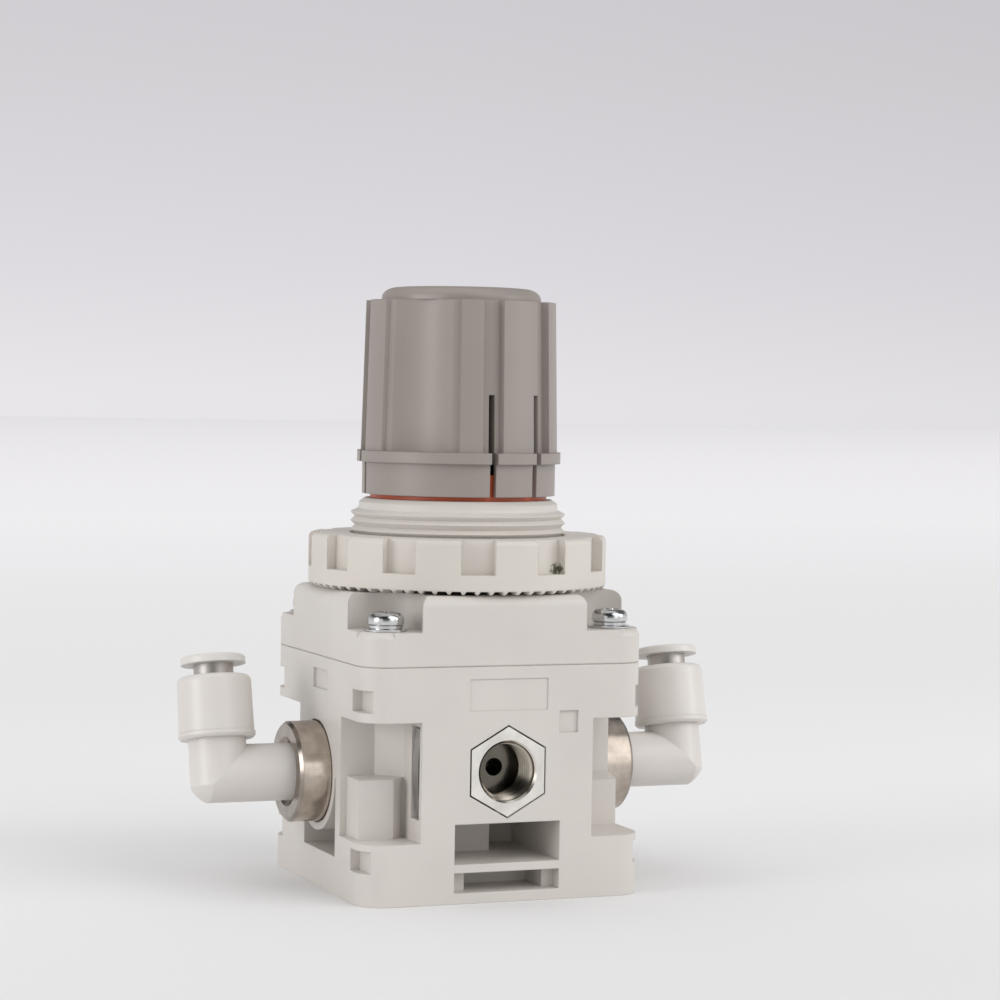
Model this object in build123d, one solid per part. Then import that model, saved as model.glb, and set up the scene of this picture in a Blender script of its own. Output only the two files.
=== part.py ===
from build123d import *
import math
import os

# Square-bodied vacuum regulator, in millimetres. The origin is the middle of the underside,
# +Z is up, the gauge port faces -Y and the two tube ports face -X and +X.

# Body block
body_width = 50.0
body_height = 39.0
body_corner_radius = 4.8

# Cored windows in the front and back faces
window_left = -9.2
window_right = 9.4
upper_window_bottom = 6.5
upper_window_height = 6.6
upper_window_depth = 13.0
upper_recess_depth = 21.0
upper_recess_left = 2.0
upper_recess_slant = 3.0
lower_window_bottom = 1.8
lower_window_height = 3.3
lower_window_depth = 9.0
lower_window_left_lip = 2.7
lower_window_right_lip = 2.05
lower_window_lip_depth = 2.6

# Cored pockets at the four vertical corners
pocket_bottom = 10.2
pocket_top = 30.0
pocket_reach = 15.2
pocket_depth = 12.2
pocket_corner_cut = 3.9
block_top = 20.1
block_front = 6.0
block_left = 1.2
block_corner_cut = 2.6
shelf_depth = 15.8
shelf_front_height = 17.9
shelf_back_height = 18.9

# Small notches in the corner edges
notch_depth = 1.7
notch_length = 6.5
notch_height = 3.6
upper_notch_bottom = 31.6
lower_notch_bottom = 5.4

# Side windows under the tube ports
side_window_front = -10.4
side_window_back = 6.0
side_window_bottom = 6.3
side_window_depth = 6.5
port_boss_radius = 10.0

# Shallow square recesses
mark_depth = 0.4
front_mark_left = 9.1
front_mark_bottom = 27.8
front_mark_width = 3.3
front_mark_height = 3.6
side_mark_front = -5.3
side_mark_bottom = 33.5
side_mark_width = 7.4
side_mark_height = 3.3
panel_left = -6.9
panel_right = 6.9
panel_bottom = 31.7
panel_top = 36.9
panel_depth = 0.15

# Bonnet
bonnet_ledge_thickness = 5.7
bonnet_block_height = 5.85
bonnet_edge_round = 1.8
bonnet_seam_chamfer = 0.2
ledge_edge_round = 1.2
small_well_radius = 6.75
large_well_radius = 8.0
screw_inset = 5.0
bonnet_cavity_radius = 12.0
bonnet_roof_thickness = 3.1
key_width = 3.0
key_height = 1.0
diaphragm_room = 2.7

# Threaded neck
neck_radius = 18.5
neck_height = 15.1
neck_lead_height = 2.7
neck_lead_radius = 17.1
neck_shoulder_height = 0.7
neck_top_radius = 16.1
thread_pitch = 1.5
thread_depth = 0.75
thread_run_out = 1.4

# Panel nut
nut_radius = 25.6
nut_height = 8.4
nut_lift = 0.7
nut_edge_round = 0.9
nut_notch_count = 12
nut_notch_width = 5.7
nut_notch_depth = 2.0
nut_notch_height = 5.7
nut_notch_angle = -103.0
nut_tooth_count = 68
nut_tooth_height = 0.6
nut_tooth_length = 3.4
nut_gap_share = 0.84

# Lock ring under the knob
ring_radius = 15.2
ring_height = 4.5
ring_wall = 2.4
ring_shown = 0.75

# Knob
knob_skirt_radius = 16.6
knob_skirt_height = 5.5
knob_collar_radius = 17.5
knob_collar_height = 1.9
knob_rib_foot_radius = 16.9
knob_rib_top_radius = 16.3
knob_grip_height = 25.6
knob_cap_radius = 13.7
knob_cap_height = 2.3
knob_cap_round = 1.4
knob_tab_count = 3
knob_first_tab = -73.5
knob_tab_angle = 28.0
knob_slot_width = 1.1
knob_slot_height = 17.1
knob_edge_bevel = 0.4
knob_step_slope = 0.6
groove_radius = 15.2
wide_groove_angle = -15.5
wide_groove_width = 12.0
narrow_groove_angle = 23.6
narrow_groove_width = 11.2
bay_angle = 61.0
bay_half_width = 5.6
bay_depth_radius = 14.3
bay_scoop_radius = 26.0
bay_bevel = 0.9
knob_wall = 1.2
knob_roof = 3.5
knob_hub_wall = 2.6

# Adjusting spindle and spring nut
spindle_radius = 3.0
spindle_flange_radius = 5.5
spindle_flange_height = 2.2
spindle_tail = 16.0
spindle_drive_height = 22.0
spindle_end_room = 2.5
spring_nut_thickness = 3.0
spring_nut_drop = 5.0

# Springs
main_spring_radius = 8.5
main_spring_wire = 1.4
main_spring_turns = 4.0
valve_spring_radius = 2.6
valve_spring_wire = 0.7
valve_spring_turns = 4.0

# Diaphragm and its plates
diaphragm_radius = 19.0
diaphragm_thickness = 0.8
diaphragm_bead = 1.1
diaphragm_hole = 2.2
plate_radius = 10.6
lower_plate_thickness = 1.6
upper_plate_thickness = 1.8
stud_length = 4.2
chamber_radius = 16.0
chamber_depth = 5.5

# Main valve
valve_bore = 5.0
valve_floor = 14.5
valve_seat_bottom = 24.0
valve_seat_height = 6.0
valve_seat_hole = 2.2
valve_stroke = 0.8
poppet_radius = 3.8
poppet_thickness = 1.8
stem_radius = 1.2

# Tube ports
port_height = 19.4
adapter_ring_radius = 8.5
adapter_ring_stand = 5.4
adapter_ring_sink = 0.6
adapter_ring_chamfer = 0.5
adapter_shank_radius = 6.9
adapter_shank_length = 13.0
adapter_bore_depth = 8.2
adapter_mouth_radius = 5.9
passage_radius = 2.2
chamber_rise_radius = 2.0
chamber_passage_offset = 8.8

# Swivel elbows
elbow_stand = 17.1
elbow_lean = 13.5
arm_radius = 4.85
elbow_corner_radius = 5.3
socket_radius = 6.35
socket_taper = 0.15
socket_bottom = 5.8
socket_top = 16.4
socket_round = 1.0
socket_lip_height = 1.1
socket_lip = 0.15
socket_lip_chamfer = 0.4
socket_bore = 4.7
tube_radius = 3.0
tube_stop = 6.6
socket_guide = 2.2

# Release button, collet sleeve, gripping ring and seals
button_radius = 5.45
button_thickness = 1.4
button_gap = 2.0
button_round = 0.5
collet_wall = 0.3
collet_engagement = 1.2
collet_end = 10.9
chuck_height = 1.4
tube_seal_height = 1.9

# Seal rings of the round shanks
seal_groove_depth = 1.1
seal_groove_width = 1.8

# Gauge port insert and its clip
gauge_height = 21.55
gauge_across_flats = 12.9
gauge_hex_length = 7.4
gauge_shank_radius = 5.2
gauge_shank_length = 5.2
gauge_thread_radius = 4.86
gauge_thread_depth = 6.4
gauge_mouth_chamfer = 0.35
gauge_passage_radius = 1.5
clip_thickness = 0.5
clip_width = 2.6
clip_skin = 1.0
clip_reach = 4.0
clip_groove = 0.8
clip_bow = 0.5
clip_slot_height = 15.3
clip_slot_depth = 3.8

# Bonnet screws and washers
screw_radius = 1.5
screw_grip_depth = 7.0
screw_head_radius = 3.05
screw_head_height = 2.1
screw_head_round = 0.945
screw_cross_width = 0.7
screw_cross_length = 3.2
screw_cross_depth = 1.0
screw_cross_turn = 35
washer_radius = 3.5
washer_thickness = 1.1

# Clearances
slide_gap = 0.07
fixed_gap = 0.05
seal_gap = 0.04
free_gap = 0.25

half = body_width / 2
adapter_ring_face = half + adapter_ring_stand
adapter_ring_seat = half - adapter_ring_sink
adapter_shank_end = adapter_ring_seat - adapter_shank_length
adapter_bore_end = half - adapter_bore_depth
elbow_reach = half + elbow_stand
bonnet_ledge_top = body_height + bonnet_ledge_thickness
bonnet_top = bonnet_ledge_top + bonnet_block_height
neck_top = bonnet_top + neck_height
roof_bottom = neck_top - bonnet_roof_thickness
screw_offset = half - screw_inset
nut_bottom = bonnet_top + nut_lift
knob_bottom = neck_top + ring_shown
knob_travel = ring_shown - fixed_gap
collar_bottom = knob_bottom + knob_skirt_height
grip_bottom = collar_bottom + knob_collar_height
grip_top = grip_bottom + knob_grip_height
knob_top = grip_top + knob_cap_height
hexagon_ratio = math.sqrt(3)
drive_across_flats = spindle_radius * hexagon_ratio
plate_top = body_height + diaphragm_thickness + upper_plate_thickness
spring_nut_top = roof_bottom - spindle_flange_height - spring_nut_drop
spring_nut_bottom = spring_nut_top - spring_nut_thickness
button_bottom = socket_top + button_gap
button_top = button_bottom + button_thickness
tube_bore = tube_radius + fixed_gap
collet_radius = tube_bore + collet_wall


def block(x0, x1, y0, y1, z0, z1):
    """Box between two corners."""
    centre = Pos((x0 + x1) / 2, (y0 + y1) / 2, (z0 + z1) / 2)
    return centre * Box(abs(x1 - x0), abs(y1 - y0), abs(z1 - z0))


def turned(*points):
    """Solid of revolution about Z from (radius, height) points."""
    outline = Plane.XZ * make_face(Polyline(*points, close=True))
    return revolve(outline, Axis.Z, 360)


def disc(radius, bottom, top):
    """Cylinder about Z between two heights."""
    return Pos(0, 0, (bottom + top) / 2) * Cylinder(radius, top - bottom)


def ring(inner, outer, bottom, top):
    """Plain ring about Z."""
    return turned((inner, bottom), (outer, bottom), (outer, top), (inner, top))


def along_x(piece):
    """Turn a piece made about Z so that its Z runs along +X at the height of the tube ports."""
    return Pos(0, 0, port_height) * Rot(0, 90, 0) * piece


def along_front(piece):
    """Turn a piece made about Z so that its Z runs out of the front face on the gauge axis."""
    return Pos(0, -half, gauge_height) * Rot(90, 0, 0) * piece


def half_turn(piece):
    """The same piece on the opposite side of the Z axis."""
    return Rot(0, 0, 180) * piece


def leaned(piece):
    """Swing an upright elbow piece backwards about the port axis."""
    return Pos(0, 0, port_height) * Rot(-elbow_lean, 0, 0) * piece


def sector(inner, outer, bottom, top, middle, width):
    """Part of a ring that spans an angle."""
    sweep_points = [(0, 0)]
    steps = max(2, math.ceil(width / 30) + 1)
    reach = outer / math.cos(math.radians(width / 2 / steps)) * 1.05
    for step in range(steps + 1):
        angle = math.radians(middle - width / 2 + width * step / steps)
        sweep_points.append((reach * math.cos(angle), reach * math.sin(angle)))
    wedge = extrude(make_face(Polyline(*sweep_points, close=True)), top - bottom)
    return ring(inner, outer, bottom, top) & (Pos(0, 0, bottom) * wedge)


def coil(mean_radius, wire, turns, bottom, top):
    """Compression spring between two flat seats."""
    height = top - bottom - wire
    path = Helix(height / turns, height, mean_radius)
    section = Plane(origin=path @ 0, z_dir=path % 0) * Circle(wire / 2)
    return Pos(0, 0, bottom + wire / 2) * sweep(section, path, is_frenet=True)


def rounded_square(bottom, top):
    """Square block with the body's rounded vertical corners."""
    plan = RectangleRounded(body_width, body_width, body_corner_radius)
    return Pos(0, 0, bottom) * extrude(plan, top - bottom)


def window_cuts():
    """Moulding windows low in the front face."""
    upper = block(window_left, window_right, -half, -half + upper_window_depth,
                  upper_window_bottom, upper_window_bottom + upper_window_height)
    front = -half + upper_window_depth
    back = -half + upper_recess_depth
    outline = Polyline((upper_recess_left, front), (upper_recess_left + upper_recess_slant, back),
                       (window_right, back), (window_right, front), close=True)
    recess = Pos(0, 0, upper_window_bottom) * extrude(make_face(outline), upper_window_height)
    lip = block(window_left, window_right, -half, -half + lower_window_lip_depth,
                lower_window_bottom, lower_window_bottom + lower_window_height)
    lower = block(window_left + lower_window_left_lip, window_right - lower_window_right_lip,
                  -half, -half + lower_window_depth,
                  lower_window_bottom, lower_window_bottom + lower_window_height)
    return [upper, recess, lip, lower]


def left_pocket_cut():
    """Front left corner pocket with its cut inner corner and the block on its floor."""
    right = -pocket_reach
    back = -half + pocket_depth
    outline = Polyline((-half, -half), (right, -half), (right, back - pocket_corner_cut),
                       (right - pocket_corner_cut, back), (-half, back), close=True)
    pocket = Pos(0, 0, pocket_bottom) * extrude(make_face(outline), pocket_top - pocket_bottom)
    front = -half + block_front
    left = -half + block_left
    foot = Polyline((left, front), (right - block_corner_cut, front),
                    (right, front + block_corner_cut), (right, back), (left, back), close=True)
    rest = Pos(0, 0, pocket_bottom) * extrude(make_face(foot), block_top - pocket_bottom)
    return pocket - rest


def right_pocket_cut():
    """Front right corner pocket, deeper above a sloping shelf."""
    front = -half + pocket_depth
    back = -half + shelf_depth
    outline = Plane.YZ * make_face(Polyline(
        (-half, pocket_bottom), (front, pocket_bottom), (front, shelf_front_height),
        (back, shelf_back_height), (back, pocket_top), (-half, pocket_top), close=True))
    return Pos(pocket_reach, 0, 0) * extrude(outline, half - pocket_reach)


def corner_notch_cuts():
    """Two small notches in the front left and front right corner edges."""
    cuts = []
    for side in (-1, 1):
        for bottom in (lower_notch_bottom, upper_notch_bottom):
            cuts.append(block(side * (half - notch_depth), side * half,
                              -half, -half + notch_length, bottom, bottom + notch_height))
    return cuts


def side_window_cut():
    """Window under the left tube port, which leaves the round port boss standing."""
    window = block(-half, -half + side_window_depth, side_window_front, side_window_back,
                   side_window_bottom, port_height)
    boss = Pos(0, 0, port_height) * Rot(0, 90, 0) * Cylinder(port_boss_radius, 2 * body_width)
    return window - boss


def gauge_cuts():
    """Hexagonal pocket, shank bore and sensing passage of the gauge port."""
    pocket_flats = gauge_across_flats + 2 * free_gap
    pocket_plan = RegularPolygon(pocket_flats / 2, 6, major_radius=False, rotation=30)
    depth = gauge_hex_length + fixed_gap
    hexagon = Pos(0, 0, -depth) * extrude(pocket_plan, depth)
    shank_end = gauge_hex_length + gauge_shank_length + fixed_gap
    bore = disc(gauge_shank_radius + fixed_gap, -shank_end, -depth)
    turn_in = half - chamber_passage_offset
    passage = disc(gauge_passage_radius, -turn_in, -shank_end)
    rise = Pos(0, -chamber_passage_offset, 0) * disc(
        gauge_passage_radius, gauge_height, body_height - chamber_depth)
    return [along_front(hexagon), along_front(bore), along_front(passage), rise]


def clip_slot_cut():
    """Slot in the pocket wall for the spring clip of the gauge insert."""
    front = -half + clip_skin
    return block(-pocket_reach, clip_reach + fixed_gap, front, front + clip_slot_depth,
                 gauge_height - clip_slot_height / 2, gauge_height + clip_slot_height / 2)


def port_cuts():
    """Bores and passages of the two tube ports and of the valve."""
    bore = disc(adapter_shank_radius + fixed_gap, adapter_shank_end - fixed_gap, half)
    seat = disc(adapter_ring_radius + free_gap, adapter_ring_seat, half)
    right = along_x(bore) + along_x(seat)
    chamber_floor = body_height - chamber_depth
    supply = along_x(disc(passage_radius, -adapter_shank_end, -valve_bore / 2))
    outlet = along_x(disc(passage_radius, chamber_passage_offset, adapter_shank_end))
    rise = Pos(chamber_passage_offset, 0, 0) * disc(chamber_rise_radius, port_height, chamber_floor)
    valve = disc(valve_bore, valve_floor, chamber_floor)
    return [right, mirror(right, Plane.YZ), supply, outlet, rise, valve]


def chamber_cuts():
    """Chamber under the diaphragm and the groove for its bead."""
    chamber = disc(chamber_radius, body_height - chamber_depth, body_height)
    groove = ring(diaphragm_radius - 2 * diaphragm_bead, diaphragm_radius,
                  body_height - diaphragm_bead - fixed_gap, body_height)
    return [chamber, groove]


def screw_places():
    """Middles of the four bonnet screws."""
    places = []
    for y in (-screw_offset, screw_offset):
        for x in (-screw_offset, screw_offset):
            places.append(Pos(x, y, 0))
    return places


def body():
    """Moulded body with its windows, pockets, ports and valve bore."""
    shape = rounded_square(0, body_height)
    for cut in window_cuts() + [left_pocket_cut(), right_pocket_cut()] + corner_notch_cuts():
        shape = shape - cut - half_turn(cut)
    under_port = side_window_cut()
    shape = shape - under_port - half_turn(under_port)
    marks = [
        block(front_mark_left, front_mark_left + front_mark_width, -half, -half + mark_depth,
              front_mark_bottom, front_mark_bottom + front_mark_height),
        block(-half, -half + mark_depth, side_mark_front, side_mark_front + side_mark_width,
              side_mark_bottom, side_mark_bottom + side_mark_height),
        block(panel_left, panel_right, -half, -half + panel_depth, panel_bottom, panel_top),
    ]
    for cut in marks + gauge_cuts() + [clip_slot_cut()] + port_cuts() + chamber_cuts():
        shape = shape - cut
    for place in screw_places():
        hole = disc(screw_radius + fixed_gap, body_height - screw_grip_depth - free_gap, body_height)
        shape = shape - place * hole
    return shape


def neck_outline():
    """Outer profile of the threaded neck, with one V for each turn of the thread."""
    root = neck_radius - thread_depth
    points = [(0, bonnet_ledge_top), (root, bonnet_ledge_top)]
    height = bonnet_top + thread_run_out
    last = neck_top - neck_lead_height
    while height + thread_pitch / 2 < last:
        points.append((root, height))
        points.append((neck_radius, height + thread_pitch / 2))
        height = height + thread_pitch
    points.append((root, height))
    points.append((neck_lead_radius, neck_top - neck_lead_height / 2))
    points.append((neck_lead_radius, neck_top - neck_shoulder_height))
    points.append((neck_top_radius, neck_top))
    points.append((0, neck_top))
    return points


def well_cut(x, y, radius):
    """Round well over a bonnet screw, open towards the corner."""
    middle = Pos(x * screw_offset, y * screw_offset, 0)
    return middle * disc(radius, bonnet_ledge_top, bonnet_top + fixed_gap) + block(
        x * screw_offset, x * body_width, y * screw_offset, y * body_width,
        bonnet_ledge_top, bonnet_top + fixed_gap)


def bonnet():
    """Bonnet with four screw ledges, a raised cross and the threaded neck."""
    ledges = rounded_square(body_height, bonnet_ledge_top)
    ledges = fillet(ledges.faces().sort_by(Axis.Z)[-1].edges(), ledge_edge_round)
    cross = rounded_square(body_height, bonnet_top)
    cross = fillet(cross.faces().sort_by(Axis.Z)[-1].edges(), bonnet_edge_round)
    for side in (-1, 1):
        cross = cross - well_cut(side, side, small_well_radius)
        cross = cross - well_cut(side, -side, large_well_radius)
        for other in (-1, 1):
            cross = cross - block(side * (half - body_corner_radius), side * body_width,
                                  other * (half - body_corner_radius), other * body_width,
                                  body_height, bonnet_ledge_top)
    shape = ledges + cross
    seam = shape.faces().sort_by(Axis.Z)[0].outer_wire().edges()
    shape = chamfer(seam, bonnet_seam_chamfer)
    shape = shape + turned(*neck_outline())
    shape = shape - disc(bonnet_cavity_radius, body_height, roof_bottom)
    keys = block(-bonnet_cavity_radius - key_height - slide_gap,
                 bonnet_cavity_radius + key_height + slide_gap,
                 -key_width / 2 - slide_gap, key_width / 2 + slide_gap, body_height, roof_bottom)
    shape = shape - keys
    shape = shape - disc(spindle_radius + slide_gap, roof_bottom, neck_top)
    shape = shape - disc(chamber_radius, body_height, body_height + diaphragm_room)
    shape = shape - disc(diaphragm_radius, body_height, body_height + diaphragm_thickness)
    for place in screw_places():
        shape = shape - place * disc(screw_radius + free_gap, body_height, bonnet_ledge_top)
    return shape


def panel_nut():
    """Round panel nut with twelve grip notches and a ring of teeth under its rim."""
    top = nut_bottom + nut_height
    low = nut_bottom - nut_tooth_height
    shape = ring(neck_radius + slide_gap, nut_radius, low, top)
    rims = shape.edges().filter_by(GeomType.CIRCLE).group_by(SortBy.RADIUS)[-1]
    shape = fillet(rims, nut_edge_round)
    shape = shape - ring(0, nut_radius - nut_tooth_length, low, nut_bottom)
    notch = block(nut_radius - nut_notch_depth, nut_radius + nut_notch_depth,
                  -nut_notch_width / 2, nut_notch_width / 2, top - nut_notch_height, top)
    for index in range(nut_notch_count):
        angle = nut_notch_angle + index * 360 / nut_notch_count
        shape = shape - Rot(0, 0, angle) * notch
    pitch = 2 * math.pi * nut_radius / nut_tooth_count
    wide = pitch * nut_gap_share / 2
    narrow = wide - nut_tooth_height / 2
    groove_plan = Plane.YZ * make_face(Polyline(
        (-wide, low), (wide, low), (narrow, nut_bottom), (-narrow, nut_bottom), close=True))
    groove = Pos(nut_radius - nut_tooth_length - fixed_gap, 0, 0) * extrude(
        groove_plan, nut_tooth_length + nut_edge_round)
    grooves = [Rot(0, 0, index * 360 / nut_tooth_count) * groove
               for index in range(nut_tooth_count)]
    return shape - grooves


def lock_ring():
    """Orange ring on the neck, seen while the knob is pulled up."""
    return ring(ring_radius - ring_wall, ring_radius, neck_top, neck_top + ring_height)


def knob_blank():
    """Turned outer form of the knob."""
    shape = turned(
        (0, knob_bottom), (knob_skirt_radius - knob_edge_bevel, knob_bottom),
        (knob_skirt_radius, knob_bottom + knob_edge_bevel), (knob_skirt_radius, collar_bottom),
        (knob_collar_radius, collar_bottom), (knob_collar_radius, grip_bottom),
        (knob_rib_foot_radius, grip_bottom), (knob_rib_top_radius, grip_top - knob_edge_bevel),
        (knob_rib_top_radius - knob_edge_bevel, grip_top), (knob_cap_radius, grip_top),
        (knob_cap_radius, knob_top), (0, knob_top))
    rim = shape.edges().filter_by(GeomType.CIRCLE).group_by(Axis.Z)[-1]
    return fillet(rim, knob_cap_round)


def bay_cut():
    """Scooped bay between two knob ribs, made about +X."""
    reach = knob_collar_radius + free_gap
    flare = bay_half_width + reach - knob_rib_top_radius + bay_bevel
    plan = Polyline((bay_depth_radius - knob_wall, -bay_half_width),
                    (knob_rib_top_radius - bay_bevel, -bay_half_width), (reach, -flare),
                    (reach, flare), (knob_rib_top_radius - bay_bevel, bay_half_width),
                    (bay_depth_radius - knob_wall, bay_half_width), close=True)
    sides = Pos(0, 0, grip_bottom) * extrude(make_face(plan), knob_grip_height)
    scoop = disc(bay_scoop_radius, grip_bottom, grip_top)
    return sides & (Pos(bay_depth_radius + bay_scoop_radius, 0, 0) * scoop)


def knob():
    """Pull-up knob with scooped bays, three slotted snap tabs and a driving hub."""
    shape = knob_blank()
    outer = knob_collar_radius + free_gap
    tabs = [knob_first_tab + index * 360 / knob_tab_count for index in range(knob_tab_count)]
    bay = bay_cut()
    for tab in tabs:
        shape = shape - Rot(0, 0, tab + bay_angle) * bay
        for angle, width in ((wide_groove_angle, wide_groove_width),
                             (narrow_groove_angle, narrow_groove_width)):
            shape = shape - sector(groove_radius, outer, grip_bottom, grip_top, tab + angle, width)
    ring_room = ring_radius + free_gap
    step = neck_top + ring_height + knob_travel + free_gap
    roof = grip_top + knob_cap_height - knob_roof
    inner = bay_depth_radius - knob_wall
    hub = spindle_radius + knob_hub_wall
    shape = shape - turned(
        (0, knob_bottom), (ring_room, knob_bottom), (ring_room, step), (inner, step + knob_step_slope),
        (inner, roof), (hub, roof), (hub, step), (0, step))
    drive = RegularPolygon(drive_across_flats / 2 + slide_gap, 6, major_radius=False)
    drive_top = neck_top + spindle_drive_height + spindle_end_room
    shape = shape - Pos(0, 0, knob_bottom) * extrude(drive, drive_top - knob_bottom)
    slot = block(inner - knob_wall, outer, 0, knob_slot_width,
                 knob_bottom, knob_bottom + knob_slot_height)
    for tab in tabs:
        shape = shape - Rot(0, 0, tab + knob_tab_angle / 2) * slot
        shape = shape - Rot(0, 0, tab - knob_tab_angle / 2) * (Pos(0, -knob_slot_width, 0) * slot)
    return shape


def spindle():
    """Adjusting spindle with a thrust flange and a six-sided driving end."""
    low = roof_bottom - spindle_flange_height - spindle_tail
    shape = disc(spindle_radius, low, neck_top + fixed_gap)
    shape = shape + disc(spindle_flange_radius, roof_bottom - spindle_flange_height,
                         roof_bottom - fixed_gap)
    drive = RegularPolygon(drive_across_flats / 2, 6, major_radius=False)
    return shape + Pos(0, 0, neck_top) * extrude(drive, spindle_drive_height)


def spring_nut():
    """Spring nut, kept from turning by two keys in the bonnet."""
    shape = disc(bonnet_cavity_radius - free_gap, spring_nut_bottom, spring_nut_top)
    keys = block(-bonnet_cavity_radius - key_height, bonnet_cavity_radius + key_height,
                 -key_width / 2, key_width / 2, spring_nut_bottom, spring_nut_top)
    return shape + keys - disc(spindle_radius + slide_gap, spring_nut_bottom, spring_nut_top)


def diaphragm():
    """Rubber diaphragm with a bead round its rim."""
    bead_inner = diaphragm_radius - 2 * diaphragm_bead + fixed_gap
    top = body_height + diaphragm_thickness
    rim = diaphragm_radius - fixed_gap
    return turned((diaphragm_hole, body_height), (bead_inner, body_height),
                  (bead_inner, body_height - diaphragm_bead), (rim, body_height - diaphragm_bead),
                  (rim, top), (diaphragm_hole, top))


def lower_plate():
    """Plate under the diaphragm, with the stud that holds the pair together."""
    shape = disc(plate_radius, body_height - lower_plate_thickness, body_height)
    return shape + disc(diaphragm_hole - fixed_gap, body_height, body_height + stud_length)


def upper_plate():
    """Plate on the diaphragm, which seats the main spring."""
    return ring(diaphragm_hole, plate_radius, body_height + diaphragm_thickness, plate_top)


def valve_seat():
    """Brass seat of the main valve."""
    outer = valve_bore - fixed_gap
    top = valve_seat_bottom + valve_seat_height
    return turned((valve_seat_hole, valve_seat_bottom), (outer, valve_seat_bottom), (outer, top),
                  (valve_seat_hole + 1, top), (valve_seat_hole, top - 1))


def valve_poppet():
    """Main valve with the stem that meets the diaphragm plate."""
    top = valve_seat_bottom - valve_stroke
    end = body_height - lower_plate_thickness
    return turned((0, top - poppet_thickness), (poppet_radius, top - poppet_thickness),
                  (poppet_radius, top), (stem_radius, top), (stem_radius, end), (0, end))


def main_spring():
    """Adjusting spring between the diaphragm plate and the spring nut."""
    return coil(main_spring_radius, main_spring_wire, main_spring_turns,
                plate_top, spring_nut_bottom)


def valve_spring():
    """Small spring under the main valve."""
    bottom = valve_seat_bottom - valve_stroke - poppet_thickness
    return coil(valve_spring_radius, valve_spring_wire, valve_spring_turns, valve_floor, bottom)


def port_adapter():
    """Turned metal adapter, with the broad ring that shows outside the body."""
    groove_low = adapter_shank_end + seal_groove_width
    groove_high = groove_low + seal_groove_width
    groove = adapter_shank_radius - seal_groove_depth
    bore = arm_radius + slide_gap
    sink = adapter_mouth_radius - bore
    shank = adapter_shank_radius
    return along_x(turned(
        (passage_radius, adapter_shank_end), (shank, adapter_shank_end), (shank, groove_low),
        (groove, groove_low), (groove, groove_high), (shank, groove_high),
        (shank, adapter_ring_seat), (adapter_ring_radius, adapter_ring_seat),
        (adapter_ring_radius, adapter_ring_face - adapter_ring_chamfer),
        (adapter_ring_radius - adapter_ring_chamfer, adapter_ring_face),
        (adapter_mouth_radius, adapter_ring_face), (bore, adapter_ring_face - sink),
        (bore, adapter_bore_end), (passage_radius, adapter_bore_end)))


def shank_seal(shank_radius, low):
    """Seal ring that fills the groove of a round shank."""
    return ring(shank_radius - seal_groove_depth, shank_radius - seal_gap / 2,
                low + seal_gap, low + seal_groove_width - seal_gap)


def adapter_seal():
    """Seal ring round the adapter's shank."""
    return along_x(shank_seal(adapter_shank_radius, adapter_shank_end + seal_groove_width))


def socket_form():
    """Tube socket of the elbow, with a lip round its foot."""
    foot = socket_radius + socket_lip
    top = socket_radius - socket_taper
    step = socket_bottom + socket_lip_height
    shape = turned((0, socket_bottom), (foot - socket_lip_chamfer, socket_bottom),
                   (foot, socket_bottom + socket_lip_chamfer), (foot, step),
                   (socket_radius, step), (top, socket_top), (0, socket_top))
    rim = shape.edges().filter_by(GeomType.CIRCLE).group_by(Axis.Z)[-1]
    return fillet(rim, socket_round)


def elbow():
    """Moulded elbow: swivel arm, rounded corner, short leg and tube socket."""
    spigot_end = adapter_bore_end + free_gap
    groove_low = spigot_end + seal_groove_width
    arm = Rot(0, 90, 0) * disc(arm_radius, spigot_end, elbow_reach)
    long_arm = Rot(0, 90, 0) * disc(arm_radius, 0, elbow_reach + elbow_corner_radius)
    long_leg = Pos(elbow_reach, 0, 0) * disc(arm_radius, -elbow_corner_radius, socket_bottom)
    corner = long_arm & long_leg & (Pos(elbow_reach, 0, 0) * Sphere(elbow_corner_radius))
    leg = Pos(elbow_reach, 0, 0) * disc(arm_radius, 0, socket_bottom + socket_round)
    shape = arm + corner + leg + Pos(elbow_reach, 0, 0) * socket_form()
    shape = shape - Rot(0, 90, 0) * ring(arm_radius - seal_groove_depth, arm_radius + free_gap,
                                         groove_low, groove_low + seal_groove_width)
    shape = shape - Rot(0, 90, 0) * disc(passage_radius, spigot_end, elbow_reach)
    shape = shape - Pos(elbow_reach, 0, 0) * Sphere(passage_radius)
    inside = [disc(passage_radius, 0, tube_stop),
              disc(socket_bore, tube_stop, socket_top - socket_guide),
              disc(collet_radius + slide_gap, tube_stop, socket_top)]
    for cut in inside:
        shape = shape - Pos(elbow_reach, 0, 0) * cut
    return leaned(shape)


def elbow_seal():
    """Seal ring round the elbow's swivel arm."""
    low = adapter_bore_end + free_gap + seal_groove_width
    return leaned(Rot(0, 90, 0) * shank_seal(arm_radius, low))


def in_socket(piece):
    """Place a piece made about Z in the socket of the elbow."""
    return leaned(Pos(elbow_reach, 0, 0) * piece)


def release_button():
    """Flanged button that frees the tube when pressed."""
    seat = button_bottom + collet_engagement
    grip = collet_radius + fixed_gap
    shape = turned((tube_bore, button_top), (tube_bore, seat), (grip, seat), (grip, button_bottom),
                   (button_radius, button_bottom), (button_radius, button_top))
    rim = shape.edges().filter_by(GeomType.CIRCLE).group_by(Axis.Z)[-1].sort_by(
        SortBy.RADIUS)[-1]
    return in_socket(fillet(rim, button_round))


def collet_sleeve():
    """Thin metal sleeve between the button and the gripping ring."""
    return in_socket(ring(tube_bore, collet_radius, collet_end, button_bottom + collet_engagement))


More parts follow.
